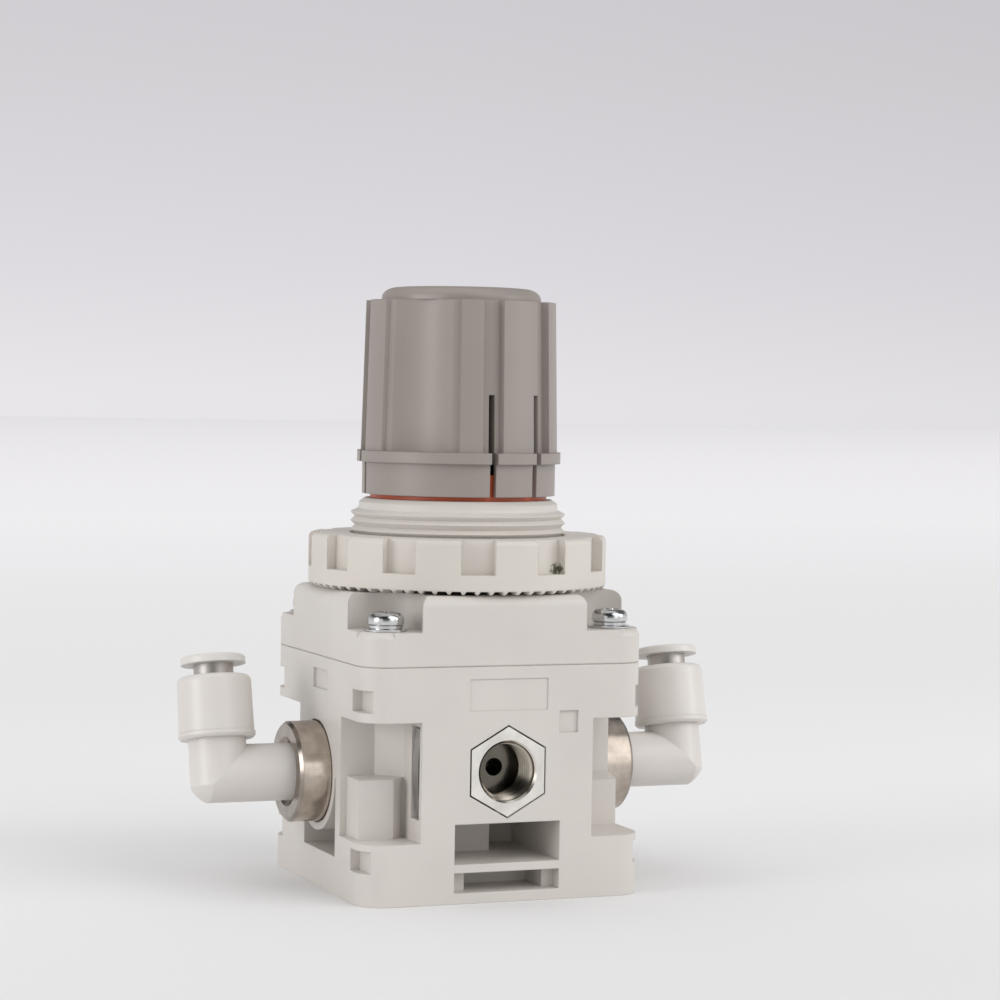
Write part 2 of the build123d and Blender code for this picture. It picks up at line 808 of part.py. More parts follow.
def gripping_ring():
    """Toothed gripping ring, plain here, that holds the tube."""
    low = tube_stop + tube_seal_height
    return in_socket(turned((tube_bore + fixed_gap, low), (socket_bore - fixed_gap, low),
                            (socket_bore - fixed_gap, low + chuck_height),
                            (socket_bore - 1, low + chuck_height)))


def tube_seal():
    """Rubber seal round the end of the tube."""
    return in_socket(ring(tube_bore, socket_bore - fixed_gap, tube_stop,
                          tube_stop + tube_seal_height))


def gauge_insert():
    """Threaded gauge port insert with a hexagonal head flush in the front face."""
    head_plan = RegularPolygon(gauge_across_flats / 2, 6, major_radius=False, rotation=30)
    head = Pos(0, 0, -gauge_hex_length) * extrude(head_plan, gauge_hex_length)
    end = -gauge_hex_length - gauge_shank_length
    shank = disc(gauge_shank_radius, end, -gauge_hex_length)
    shape = head + shank
    mouth = gauge_thread_radius + gauge_mouth_chamfer
    shape = shape - turned((0, 0), (mouth, 0), (gauge_thread_radius, -gauge_mouth_chamfer),
                           (gauge_thread_radius, -gauge_thread_depth), (0, -gauge_thread_depth))
    shape = shape - disc(gauge_passage_radius, end, -gauge_thread_depth)
    groove_low = -gauge_hex_length - 2 * seal_groove_width
    shape = shape - ring(gauge_shank_radius - seal_groove_depth, gauge_shank_radius + free_gap,
                         groove_low, groove_low + seal_groove_width)
    across_corners = gauge_across_flats / hexagon_ratio
    level = across_corners - clip_groove
    for side in (-1, 1):
        shape = shape - block(-half, half, side * level, side * half,
                              -clip_skin - clip_slot_depth, -clip_skin)
    return along_front(shape)


def gauge_seal():
    """Seal ring round the shank of the gauge insert."""
    return along_front(shank_seal(gauge_shank_radius, -gauge_hex_length - 2 * seal_groove_width))


def gauge_clip():
    """Bowed spring clip that holds the gauge insert, seen in the left front pocket."""
    front = -half + clip_skin + (clip_slot_depth - clip_width) / 2
    inner = gauge_across_flats / hexagon_ratio - clip_groove + fixed_gap
    outer = inner + clip_thickness
    left = -pocket_reach + clip_bow
    edges = []
    for level, end in ((outer, left), (inner, left + clip_thickness)):
        edges.append(Line((clip_reach, level), (end, level)))
        edges.append(ThreePointArc((end, level), (end - clip_bow, 0), (end, -level)))
        edges.append(Line((end, -level), (clip_reach, -level)))
    for side in (-1, 1):
        edges.append(Line((clip_reach, side * inner), (clip_reach, side * outer)))
    plan = Plane.XZ * make_face(edges)
    return Pos(0, front + clip_width, gauge_height) * extrude(plan, clip_width)


def bonnet_screw(place):
    """Pan head screw with a cross recess."""
    seat = bonnet_ledge_top + washer_thickness
    top = seat + screw_head_height
    head = disc(screw_head_radius, seat, top)
    rim = head.edges().filter_by(GeomType.CIRCLE).group_by(Axis.Z)[-1]
    head = fillet(rim, screw_head_round)
    shape = head + disc(screw_radius, body_height - screw_grip_depth, seat)
    arm = screw_cross_length / 2
    width = screw_cross_width / 2
    low = top - screw_cross_depth
    shape = shape - block(-arm, arm, -width, width, low, top)
    shape = shape - block(-width, width, -arm, arm, low, top)
    return place * (Rot(0, 0, screw_cross_turn) * shape)


def washer(place):
    """Flat washer under a bonnet screw."""
    return place * ring(screw_radius + fixed_gap, washer_radius, bonnet_ledge_top,
                        bonnet_ledge_top + washer_thickness)


def pieces():
    """Every piece of the regulator by its name."""
    made = {
        "body": body(),
        "bonnet": bonnet(),
        "panel_nut": panel_nut(),
        "lock_ring": lock_ring(),
        "knob": knob(),
        "spindle": spindle(),
        "spring_nut": spring_nut(),
        "main_spring": main_spring(),
        "upper_plate": upper_plate(),
        "diaphragm": diaphragm(),
        "lower_plate": lower_plate(),
        "valve_seat": valve_seat(),
        "valve_poppet": valve_poppet(),
        "valve_spring": valve_spring(),
        "gauge_insert": gauge_insert(),
        "gauge_seal": gauge_seal(),
        "gauge_clip": gauge_clip(),
    }
    corners = ("front_left", "front_right", "back_left", "back_right")
    for corner, place in zip(corners, screw_places()):
        made["screw_" + corner] = bonnet_screw(place)
        made["washer_" + corner] = washer(place)
    port_pieces = {
        "adapter": port_adapter(),
        "adapter_seal": adapter_seal(),
        "elbow": elbow(),
        "elbow_seal": elbow_seal(),
        "button": release_button(),
        "collet": collet_sleeve(),
        "gripper": gripping_ring(),
        "tube_seal": tube_seal(),
    }
    for name, piece in port_pieces.items():
        made["right_" + name] = piece
        made["left_" + name] = mirror(piece, Plane.YZ)
    return made


os.makedirs("parts", exist_ok=True)
for name, piece in pieces().items():
    export_step(piece, "parts/" + name + ".step")
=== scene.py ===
import math
import bmesh
import bpy
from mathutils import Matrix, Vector


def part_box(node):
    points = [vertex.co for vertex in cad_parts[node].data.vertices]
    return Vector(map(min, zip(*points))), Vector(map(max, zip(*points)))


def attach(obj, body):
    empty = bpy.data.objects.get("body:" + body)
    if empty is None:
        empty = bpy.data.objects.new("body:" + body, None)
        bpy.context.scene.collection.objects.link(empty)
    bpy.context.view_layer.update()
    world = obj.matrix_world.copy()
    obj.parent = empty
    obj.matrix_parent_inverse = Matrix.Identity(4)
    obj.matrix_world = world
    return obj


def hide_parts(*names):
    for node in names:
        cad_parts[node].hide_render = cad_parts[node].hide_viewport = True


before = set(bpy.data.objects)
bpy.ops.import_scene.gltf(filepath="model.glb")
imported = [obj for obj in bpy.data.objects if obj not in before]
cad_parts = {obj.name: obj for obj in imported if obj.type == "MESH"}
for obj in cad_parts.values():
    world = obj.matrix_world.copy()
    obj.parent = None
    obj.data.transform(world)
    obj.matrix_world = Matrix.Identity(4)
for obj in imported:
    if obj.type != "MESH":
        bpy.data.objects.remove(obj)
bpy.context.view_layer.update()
MM = 0.001

# Camera, as the photograph was taken: place in millimetres, angles in degrees
CAMERA_PLACE = (-174.3, -453.4, 83.2)
CAMERA_HEADING = 21.88
CAMERA_DOWN = 2.09
CAMERA_ROLL = 0.97
CAMERA_LENS = 101.5
SENSOR = 36.0
CLIP_NEAR = 0.01
CLIP_FAR = 50.0

# Backdrop: tones by the sine of the height angle, then by direction from left to right
BACKDROP = ((-0.02, (0.79, 0.775, 0.80)), (0.0, (0.79, 0.775, 0.80)),
            (0.0425, (0.715, 0.70, 0.73)), (0.078, (0.675, 0.66, 0.69)),
            (0.113, (0.645, 0.625, 0.655)), (0.16, (0.605, 0.59, 0.62)),
            (0.30, (0.50, 0.49, 0.50)), (0.45, (0.12, 0.12, 0.12)),
            (0.90, (0.12, 0.12, 0.12)), (1.0, (0.45, 0.45, 0.45)))
BACKDROP_SIDES = ((0.20, (1.02, 1.02, 1.02)), (0.36, (1.0, 1.0, 1.0)), (0.55, (0.95, 0.95, 0.95)))
# The room on the near side, as mirrors see it: tones given in the same two ways
NEAR_SIDE = ((-0.30, (0.45, 0.45, 0.45)), (-0.10, (0.95, 0.95, 0.94)),
             (0.24, (1.0, 1.0, 0.99)), (0.36, (0.15, 0.15, 0.15)),
             (0.75, (0.15, 0.15, 0.15)), (1.0, (0.60, 0.60, 0.60)))
NEAR_SIDES = ((-0.90, (1.0, 1.0, 1.0)), (-0.70, (0.9, 0.9, 0.9)), (-0.55, (0.10, 0.10, 0.10)),
              (0.02, (0.10, 0.10, 0.10)), (0.16, (1.0, 1.0, 1.0)), (0.80, (1.0, 1.0, 1.0)))
# Directions from front to back between which the near side gives way to the backdrop
NEAR_END = -0.55
BACKDROP_START = 0.25
# Strength of the room's even light, from the front and from the back
WORLD_NEAR = 0.58
WORLD_FAR = 0.80

# Floor, in metres: half its side, and its tones by the distance behind the object, painted light
# and shade standing in for how the light falls across it
FLOOR_HALF = 8.0
FLOOR_PAINTED_LIGHT = ((-0.10, (0.735, 0.73, 0.735)), (-0.02, (0.765, 0.76, 0.765)),
         (0.10, (0.795, 0.79, 0.795)), (0.30, (0.785, 0.78, 0.785)),
         (0.52, (0.815, 0.81, 0.815)), (0.88, (0.87, 0.86, 0.875)),
         (1.31, (0.91, 0.90, 0.915)), (2.14, (0.905, 0.89, 0.91)),
         (4.56, (0.86, 0.845, 0.865)), (8.0, (0.815, 0.80, 0.82)))

# Soft suns: name, where each shines from, strength and spread in degrees
SUNS = (("key", (0.42, -0.80, 0.70), 0.66, 45.0), ("top", (-0.15, 0.10, 1.0), 0.36, 70.0))
# Square lamps: name, place and size in millimetres, and power; all aim at one place
LAMPS = (("left_box", (-800.0, -150.0, 230.0), 360.0, 1.8),
         ("right_box", (700.0, -420.0, 330.0), 300.0, 1.4),
         ("front_panel", (500.0, -1200.0, 235.0), 420.0, 0.3))
LAMP_AIM = (0.0, 0.0, 45.0)

# Colours, linear
HOUSING = (0.635, 0.60, 0.56)
NUT = (0.645, 0.605, 0.555)
KNOB = (0.305, 0.267, 0.242)
ELBOW = (0.69, 0.655, 0.62)
BUTTON = (0.69, 0.67, 0.635)
ORANGE = (0.50, 0.085, 0.025)
DIRT = (0.13, 0.125, 0.09)
RUBBER = (0.012, 0.012, 0.013)
NICKEL = (0.56, 0.49, 0.425)
BRIGHT_NICKEL = (0.84, 0.82, 0.77)
COLLET = (0.50, 0.475, 0.45)
STEEL = (0.55, 0.55, 0.55)
ZINC = (0.66, 0.665, 0.67)
BRASS = (0.56, 0.42, 0.20)

# Painted shade on the metal along its axis, by the distance from the middle plane in metres:
# the gauge port is painted darker inwards, and the adapters' end faces are painted darker
PORT_PAINTED_SHADE = ((0.0150, (0.10, 0.10, 0.09)), (0.0186, (0.18, 0.17, 0.15)),
               (0.0190, (0.38, 0.35, 0.31)), (0.0225, (0.48, 0.45, 0.40)),
               (0.0245, (0.78, 0.73, 0.67)), (0.0250, (1.0, 1.0, 1.0)))
# Painted shade: the adapters' end faces and the edge of their chamfer are made darker
RING_END_PAINTED_SHADE = ((0.0297, (1.0, 1.0, 1.0)), (0.0299, (0.68, 0.68, 0.69)),
               (0.0305, (0.68, 0.68, 0.69)))

# Noises: scale per metre and detail of each, and the stretch of a turned metal's lines
CLOUDS = (60.0, 3.0)
GRAIN = (9000.0, 2.0)
TURNED_LINES = (2600.0, 2.0)
TURNED_STRETCH = 0.02
STAINS = (420.0, 5.0)
PLATING = (900.0, 4.0)
RUBBER_GRAIN = (3000.0, 2.0)
# Levels of a noise between which two tones blend, and the tones as shares of the colour
BLEND_START = 0.35
BLEND_END = 0.65
PLASTIC_TONES = (0.965, 1.02)
TURNED_PALE = 1.08
PLATED_TONES = (0.9, 1.05)
RUBBER_TONES = (1.0, 1.8)
# How far the roughness wanders below and above its usual value
PLASTIC_SPREAD = (-0.05, 0.07)
TURNED_SPREAD = (-0.06, 0.12)
PLATED_SPREAD = (-0.05, 0.08)
RUBBER_ROUGHNESS = 0.6
FLOOR_ROUGHNESS = 0.9
# Strength of the turned lines, and depth in metres of the finest relief
TURNED_RELIEF = 0.18
RELIEF_DEPTH = 0.00003
# Radius in millimetres by which the edges of plastic look softened
SOFT_EDGE = 0.25
SOFT_EDGE_SAMPLES = 4

# Dirt speck in one notch of the nut, in metres: its place, where it is whole and where it
# ends, and how far and how finely its rim wanders
SPECK_PLACE = (0.0093, -0.0222, 0.0547)
SPECK_CORE = 0.0006
SPECK_EDGE = 0.0013
SPECK_RAGGED = 0.0030
SPECK_GRAIN = (1600.0, 3.0)

# Angles in degrees over which an edge stays crisp
CREASE = 28.0
THREAD_CREASE = 25.0
SCREW_CREASE = 32.0

# Thread of the gauge port, in millimetres: one ridge wound inwards from the mouth
PORT_PITCH = 0.907
PORT_TURNS = 6.2
PORT_STEPS = 40
PORT_RADIUS = 4.875
PORT_CREST = 4.42
PORT_MOUTH = -24.25
PORT_HEIGHT = 21.55
# Share of a turn over which the ridge rises, and half its width in pitches, foot and crest
PORT_LEAD = 0.6
PORT_FOOT_HALF = 0.42
PORT_CREST_HALF = 0.06

# Uppermost crest of the neck's thread, in millimetres: its height, and its outline as
# radius and height from there
NECK_CREST = 63.17
NECK_OUTLINE = ((16.4, -0.8), (17.75, -0.72), (18.42, -0.12), (18.42, 0.10), (17.35, 0.62),
                (16.4, 0.8))
NECK_SIDES = 160

# Knob, in millimetres and degrees: radii of its grip
KNOB_RIB = 16.6
KNOB_TAB = 16.5
KNOB_GROOVE = 15.3
# Half of the grip's outline: width and radius of each span; the scooped bay has no radius
KNOB_SPANS = ((11.9, KNOB_GROOVE), (21.0, KNOB_RIB), (50.4, None), (13.8, KNOB_RIB),
              (11.9, KNOB_GROOVE), (27.0, KNOB_TAB), (11.8, KNOB_GROOVE), (32.2, KNOB_RIB))
KNOB_START = -194.0
# Angle of the steep wall between two spans, and the longest piece of a span
KNOB_STEEP = 0.4
KNOB_PIECE = 2.4
# Scoop of the bay: distance of its centre from the axis, its radius, and the bay's rim
BAY_CENTRE = 25.5
BAY_SCOOP = 11.9
BAY_RIM = 15.9
# Slots between the snap tabs
SLOT_STARTS = (-185.9, -92.5, -62.3)
SLOT_WIDTH = 3.8
# Differences that count as none, in degrees or millimetres, and the slack at a slot's edge
SAME = 0.001
SLOT_SLACK = 0.01
# Heights above the foot, and depths under the peak
COLLAR_BOTTOM = 5.5
GRIP_BOTTOM = 7.4
SLOT_TOP = 17.1
ROOF_DEPTH = 3.5
SHOULDER_DEPTH = 2.3
# Radii of the skirt, the collar and the hollow, and how far the grip leans each way
SKIRT_RADIUS = 16.6
SKIRT_HOLLOW = 15.45
COLLAR_RADIUS = 17.5
KNOB_HOLLOW = 13.1
KNOB_LEAN = 0.3
# Cap: radius, upright rim, and how far and how high its rounding goes
CAP_RADIUS = 13.7
CAP_RIM = 0.45
CAP_ROUND = 2.6
CAP_RISE = 1.85
CAP_STEPS = 10
# Hole left in the axis of solids of revolution, and size of the gaps that are welded
AXIS_HOLE = 0.05
WELD = 0.002

# Screws, in millimetres: shank, flat washer and spring washer with their bevels
SHANK_RADIUS = 1.5
FLAT_RADIUS = 3.5
FLAT_THICKNESS = 0.42
FLAT_BEVEL = (0.12, 0.1)
SPRING_RADIUS = 2.8
SPRING_BEVEL = (0.08, 0.08)
WASHER_GAP = 0.06
# Radii of the narrow places under the spring washer and under the head
SPRING_NECK = 2.6
HEAD_NECK = 2.5
# Rim of the head as radius and height over its seat, and the height of its shoulder
HEAD_RIM = ((2.9, 0.0), (3.0, 0.1), (3.03, 0.3))
HEAD_SHOULDER = 0.75
# Rounding of the head: reach, share of the full rise, and fullness
HEAD_ROUND = 1.28
HEAD_RISE = 0.93
HEAD_FULLNESS = 0.8
HEAD_STEPS = 12
# Crown of the head, with its cross recess
CROWN_RADIUS = 1.75
CROWN_RINGS = 22
CROWN_HOLE = 0.001
CROSS_LENGTH = 1.6
CROSS_WIDTH = 0.45
CROSS_DEPTH = 1.0
CROSS_END_SLOPE = 0.5
CROSS_SIDE_SLOPE = 0.12
SCREW_SIDES = 144
# Angle in degrees at which the first screw's recess stands, and the step to the next
SCREW_TURN = 31.0
SCREW_TURN_STEP = 31.0

SIDES = ("left", "right")
CORNERS = ("front_left", "front_right", "back_left", "back_right")


def link(tree, source, target):
    tree.links.new(source, target)


def feed(tree, target, value):
    """Give an input a number, a colour, a vector or another node's output."""
    if isinstance(value, bpy.types.NodeSocket):
        link(tree, value, target)
    elif isinstance(value, tuple):
        missing = len(target.default_value) - len(value)
        target.default_value = value + (1.0,) * missing
    else:
        target.default_value = value


def node_material(name):
    """New material with its node tree and shader."""
    material = bpy.data.materials.new(name)
    material.use_nodes = True
    tree = material.node_tree
    return material, tree, tree.nodes["Principled BSDF"]


def coordinates(tree, kind):
    """Place of the shaded point, or its direction from the world's middle."""
    return tree.nodes.new("ShaderNodeTexCoord").outputs[kind]


def along_axes(tree, kind):
    """The same, taken apart into X, Y and Z."""
    parts = tree.nodes.new("ShaderNodeSeparateXYZ")
    link(tree, coordinates(tree, kind), parts.inputs["Vector"])
    return parts.outputs


def maths(tree, operation, *values):
    """One sum with numbers or outputs."""
    node = tree.nodes.new("ShaderNodeMath")
    node.operation = operation
    for target, value in zip(node.inputs, values):
        feed(tree, target, value)
    return node.outputs[0]


def noise(tree, texture, stretch=(1.0, 1.0, 1.0)):
    """Noise in object coordinates, in metres, from its scale and detail."""
    mapping = tree.nodes.new("ShaderNodeMapping")
    feed(tree, mapping.inputs["Scale"], stretch)
    link(tree, coordinates(tree, "Object"), mapping.inputs["Vector"])
    node = tree.nodes.new("ShaderNodeTexNoise")
    feed(tree, node.inputs["Scale"], texture[0])
    feed(tree, node.inputs["Detail"], texture[1])
    link(tree, mapping.outputs["Vector"], node.inputs["Vector"])
    return node.outputs["Fac"]


def remapped(tree, source, start, end, low=0.0, high=1.0, smooth=False):
    """One range of levels brought to another."""
    node = tree.nodes.new("ShaderNodeMapRange")
    if smooth:
        node.interpolation_type = "SMOOTHSTEP"
    values = (("From Min", start), ("From Max", end), ("To Min", low), ("To Max", high))
    for name, value in values:
        feed(tree, node.inputs[name], value)
    link(tree, source, node.inputs["Value"])
    return node.outputs["Result"]


def ramp(tree, source, stops):
    """Colour ramp through several tones, each given with its place from 0 to 1."""
    node = tree.nodes.new("ShaderNodeValToRGB")
    marks = node.color_ramp.elements
    for place, colour in stops[1:-1]:
        marks.new(place).color = (*colour, 1.0)
    for mark, (place, colour) in ((marks[0], stops[0]), (marks[len(marks) - 1], stops[-1])):
        mark.position = place
        mark.color = (*colour, 1.0)
    link(tree, source, node.inputs["Fac"])
    return node.outputs["Color"]


def stepped(tree, source, stops):
    """Several tones, each given with its level of the source."""
    low, high = stops[0][0], stops[-1][0]
    placed = [((level - low) / (high - low), colour) for level, colour in stops]
    return ramp(tree, remapped(tree, source, low, high), placed)


def shade(colour, factor):
    return tuple(min(1.0, channel * factor) for channel in colour)


def uneven(tree, source, colour, tones):
    """A colour that wanders between a darker and a paler tone."""
    dark, pale = tones
    return ramp(tree, source, ((BLEND_START, shade(colour, dark)),
                               (BLEND_END, shade(colour, pale))))


def wandering(tree, source, roughness, spread):
    """Roughness that wanders with a texture round its usual value."""
    return remapped(tree, source, 0.0, 1.0, roughness + spread[0], roughness + spread[1])


def blended(tree, kind, low, high, factor=1.0):
    """Two colours mixed in one of the usual ways."""
    node = tree.nodes.new("ShaderNodeMix")
    node.data_type = "RGBA"
    node.blend_type = kind
    for index, value in ((0, factor), (6, low), (7, high)):
        feed(tree, node.inputs[index], value)
    return node.outputs[2]


def bump(tree, source, shader, strength, edge=0.0):
    """Surface relief from a texture, over edges softened by a radius in millimetres."""
    node = tree.nodes.new("ShaderNodeBump")
    feed(tree, node.inputs["Strength"], strength)
    feed(tree, node.inputs["Distance"], RELIEF_DEPTH)
    link(tree, source, node.inputs["Height"])
    if edge:
        soft = tree.nodes.new("ShaderNodeBevel")
        soft.samples = SOFT_EDGE_SAMPLES
        feed(tree, soft.inputs["Radius"], edge * MM)
        link(tree, soft.outputs["Normal"], node.inputs["Normal"])
    link(tree, node.outputs["Normal"], shader.inputs["Normal"])


def speck(tree):
    """How far a point lies in the dirt speck."""
    away = tree.nodes.new("ShaderNodeVectorMath")
    away.operation = "DISTANCE"
    link(tree, coordinates(tree, "Object"), away.inputs[0])
    feed(tree, away.inputs[1], SPECK_PLACE)
    ragged = maths(tree, "MULTIPLY_ADD", noise(tree, SPECK_GRAIN), SPECK_RAGGED,
                   -0.5 * SPECK_RAGGED)
    rough_away = maths(tree, "ADD", away.outputs["Value"], ragged)
    return remapped(tree, rough_away, SPECK_EDGE, SPECK_CORE)


def moulded_plastic(name, colour, roughness=0.42, relief=0.12, dirty=False):
    """Moulded plastic: faint cloudiness in the colour and a fine moulded grain."""
    material, tree, shader = node_material(name)
    tone = uneven(tree, noise(tree, CLOUDS), colour, PLASTIC_TONES)
    if dirty:
        tone = blended(tree, "MIX", tone, DIRT, speck(tree))
    grain = noise(tree, GRAIN)
    link(tree, tone, shader.inputs["Base Color"])
    link(tree, wandering(tree, grain, roughness, PLASTIC_SPREAD), shader.inputs["Roughness"])
    bump(tree, grain, shader, relief, SOFT_EDGE)
    return material


def turned_metal(name, colour, axis, roughness=0.22, stain=0.8, depths=()):
    """Turned metal: fine lines round one axis, slight stains, and, where given, painted shade
    along the axis.
    """
    material, tree, shader = node_material(name)
    shader.inputs["Metallic"].default_value = 1.0
    stretch = tuple(1.0 if letter == axis else TURNED_STRETCH for letter in "XYZ")
    lines = noise(tree, TURNED_LINES, stretch)
    stains = noise(tree, STAINS)
    tone = uneven(tree, stains, colour, (stain, TURNED_PALE))
    # Painted shade: the colour is darkened step by step with the distance along the axis
    if depths:
        distance = maths(tree, "ABSOLUTE", along_axes(tree, "Object")[axis])
        tone = blended(tree, "MULTIPLY", tone, stepped(tree, distance, depths))
    link(tree, tone, shader.inputs["Base Color"])
    link(tree, wandering(tree, stains, roughness, TURNED_SPREAD), shader.inputs["Roughness"])
    bump(tree, lines, shader, TURNED_RELIEF)
    return material


def plated(name, colour, roughness=0.16):
    """Bright plated metal with faint unevenness."""
    material, tree, shader = node_material(name)
    shader.inputs["Metallic"].default_value = 1.0
    patches = noise(tree, PLATING)
    link(tree, uneven(tree, patches, colour, PLATED_TONES), shader.inputs["Base Color"])
    link(tree, wandering(tree, patches, roughness, PLATED_SPREAD), shader.inputs["Roughness"])
    return material


def rubber(name):
    """Dull black rubber."""
    material, tree, shader = node_material(name)
    tone = uneven(tree, noise(tree, RUBBER_GRAIN), RUBBER, RUBBER_TONES)
    link(tree, tone, shader.inputs["Base Color"])
    shader.inputs["Roughness"].default_value = RUBBER_ROUGHNESS
    return material


def dress(material, *names):
    """Give CAD nodes a material on all their slots."""
    for name in names:
        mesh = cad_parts[name].data
        if not mesh.materials:
            mesh.materials.append(material)
        for index in range(len(mesh.materials)):
            mesh.materials[index] = material


def both(*names):
    return [side + "_" + name for side in SIDES for name in names]


def corners(name):
    return [name + "_" + corner for corner in CORNERS]


def dress_all():
    """Materials of every carried-over node."""
    dress(moulded_plastic("housing_finish", HOUSING), "body", "bonnet")
    dress(moulded_plastic("nut_finish", NUT, 0.45, dirty=True), "panel_nut")
    dress(moulded_plastic("knob_finish", KNOB, 0.40, relief=0.1), "knob")
    dress(moulded_plastic("elbow_finish", ELBOW, 0.34, relief=0.04), *both("elbow"))
    dress(moulded_plastic("button_finish", BUTTON, 0.36, relief=0.05), *both("button"))
    dress(moulded_plastic("ring_finish", ORANGE, 0.38), "lock_ring")
    # The adapters and the gauge insert get painted shade along their axes
    dress(turned_metal("adapter_painted_shade", NICKEL, "X", depths=RING_END_PAINTED_SHADE), *both("adapter"))
    dress(turned_metal("insert_painted_shade", BRIGHT_NICKEL, "Y", 0.14, 0.92, PORT_PAINTED_SHADE),
          "gauge_insert")
    dress(turned_metal("collet_finish", COLLET, "Z", 0.45, 0.95), *both("collet", "gripper"))
    dress(plated("zinc_finish", ZINC), *corners("screw"), *corners("washer"))
    dress(plated("steel_finish", STEEL, 0.3), "spindle", "upper_plate", "lower_plate",
          "main_spring", "valve_spring", "gauge_clip")
    dress(plated("brass_finish", BRASS, 0.25), "spring_nut", "valve_seat", "valve_poppet")
    dress(rubber("rubber_finish"), "diaphragm", "gauge_seal",
          *both("adapter_seal", "elbow_seal", "tube_seal"))


def smoothed(mesh, crease):
    """Smooth shading on round faces and crisp edges over an angle in degrees."""
    mesh.shade_smooth()
    mesh.set_sharp_from_angle(angle=math.radians(crease))


def smooth_edges():
    """The same for every carried-over node."""
    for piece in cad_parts.values():
        smoothed(piece.data, CREASE)


def in_scene(name, data):
    """New object in the scene."""
    thing = bpy.data.objects.new(name, data)
    bpy.context.scene.collection.objects.link(thing)
    return thing


def finished(mesh, name, material, crease):
    """Piece made of a built mesh, with its faces turned outwards."""
    bmesh.ops.recalc_face_normals(mesh, faces=mesh.faces)
    data = bpy.data.meshes.new(name)
    mesh.to_mesh(data)
    mesh.free()
    smoothed(data, crease)
    data.materials.append(material)
    return in_scene(name, data)


def polar(mesh, radius, angle, height, centre=(0.0, 0.0)):
    """Point at a radius and a height round an upright axis; the centre is in metres."""
    return mesh.verts.new((centre[0] + radius * math.cos(angle) * MM,
                           centre[1] + radius * math.sin(angle) * MM, height * MM))


def full_turn(sides):
    return [2.0 * math.pi * side / sides for side in range(sides)]


def skin(mesh, rows, joined=False):
    """Faces from each closed row of points to the next, with the ends joined or filled."""
    next_rows = rows[1:] + rows[:1] if joined else rows[1:]
    for first, second in zip(rows, next_rows):
        for side in range(len(first)):
            after = (side + 1) % len(first)
            mesh.faces.new((first[side], first[after], second[after], second[side]))
    if not joined:
        mesh.faces.new(rows[0])
        mesh.faces.new(list(reversed(rows[-1])))


def add_port_thread():
    """Thread of the gauge port, as one ridge wound inside the hole."""
    mesh = bmesh.new()
    rows = []
    for step in range(int(PORT_TURNS * PORT_STEPS) + 1):
        angle = 2.0 * math.pi * step / PORT_STEPS
        depth = PORT_MOUTH + PORT_PITCH * step / PORT_STEPS
        rise = min(1.0, step / (PORT_LEAD * PORT_STEPS))
        crest = PORT_RADIUS - (PORT_RADIUS - PORT_CREST) * rise
        section = ((PORT_RADIUS, -PORT_FOOT_HALF), (crest, -PORT_CREST_HALF),
                   (crest, PORT_CREST_HALF), (PORT_RADIUS, PORT_FOOT_HALF))
        rows.append([mesh.verts.new((radius * math.cos(angle) * MM,
                                     (depth + shift * PORT_PITCH) * MM,
                                     (PORT_HEIGHT + radius * math.sin(angle)) * MM))
                     for radius, shift in section])
    skin(mesh, rows)
    # The thread carries the port's painted shade, darker inwards
    metal_with_painted_shade = turned_metal("port_thread_painted_shade", BRIGHT_NICKEL, "Y", 0.2, depths=PORT_PAINTED_SHADE)
    thread = finished(mesh, "gauge_port_thread", metal_with_painted_shade, THREAD_CREASE)
    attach(thread, "housing")


def add_neck_thread():
    """Uppermost crest of the neck's thread, where it runs out into the lead."""
    mesh = bmesh.new()
    rings = [[polar(mesh, radius, angle, NECK_CREST + height) for angle in full_turn(NECK_SIDES)]
             for radius, height in NECK_OUTLINE]
    skin(mesh, rings, joined=True)
    thread = finished(mesh, "neck_thread", bpy.data.materials["housing_finish"], CREASE)
    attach(thread, "housing")


def bay_radius(off):
    """Radius of the scooped bay at an angle off its middle, in radians."""
    reach = BAY_CENTRE * math.cos(off)
    half_chord = math.sqrt(BAY_SCOOP ** 2 - (BAY_CENTRE * math.sin(off)) ** 2)
    return min(reach - half_chord, BAY_RIM)


def knob_outline():
    """Half of the grip's outline, as angle and radius: ribs, scooped bay, grooves and tab."""
    points = []
    start = KNOB_START
    for width, radius in KNOB_SPANS:
        pieces = max(2, round(width / KNOB_PIECE))
        for piece in range(pieces + 1):
            share = piece / pieces
            angle = start + KNOB_STEEP + (width - 2.0 * KNOB_STEEP) * share
            level = radius
            if radius is None:
                level = bay_radius(math.radians(width * (share - 0.5)))
            points.append((angle, level))
        start += width
    return points


def knob_columns():
    """Columns round the knob: the angle where each starts, its radius, and if a slot opens it."""
    half = knob_outline()
    outline = half + [(angle + 180.0, radius) for angle, radius in half]
    slots = [(start + turn, start + turn + SLOT_WIDTH) for turn in (0.0, 180.0)
             for start in SLOT_STARTS]
    angles = sorted({round(angle, 3) for angle, _ in outline}
                    | {round(edge, 3) for slot in slots for edge in slot})
    columns = []
    for angle in angles:
        before = max((row for row in outline if row[0] <= angle + SAME), default=outline[0])
        after = min((row for row in outline if row[0] >= angle - SAME), default=outline[-1])
        span = after[0] - before[0]
        share = (angle - before[0]) / span if span > SAME else 0.0
        radius = before[1] + (after[1] - before[1]) * share
        opened = any(low <= angle + SLOT_SLACK < high for low, high in slots)
        columns.append((math.radians(angle), radius, opened))
    return columns


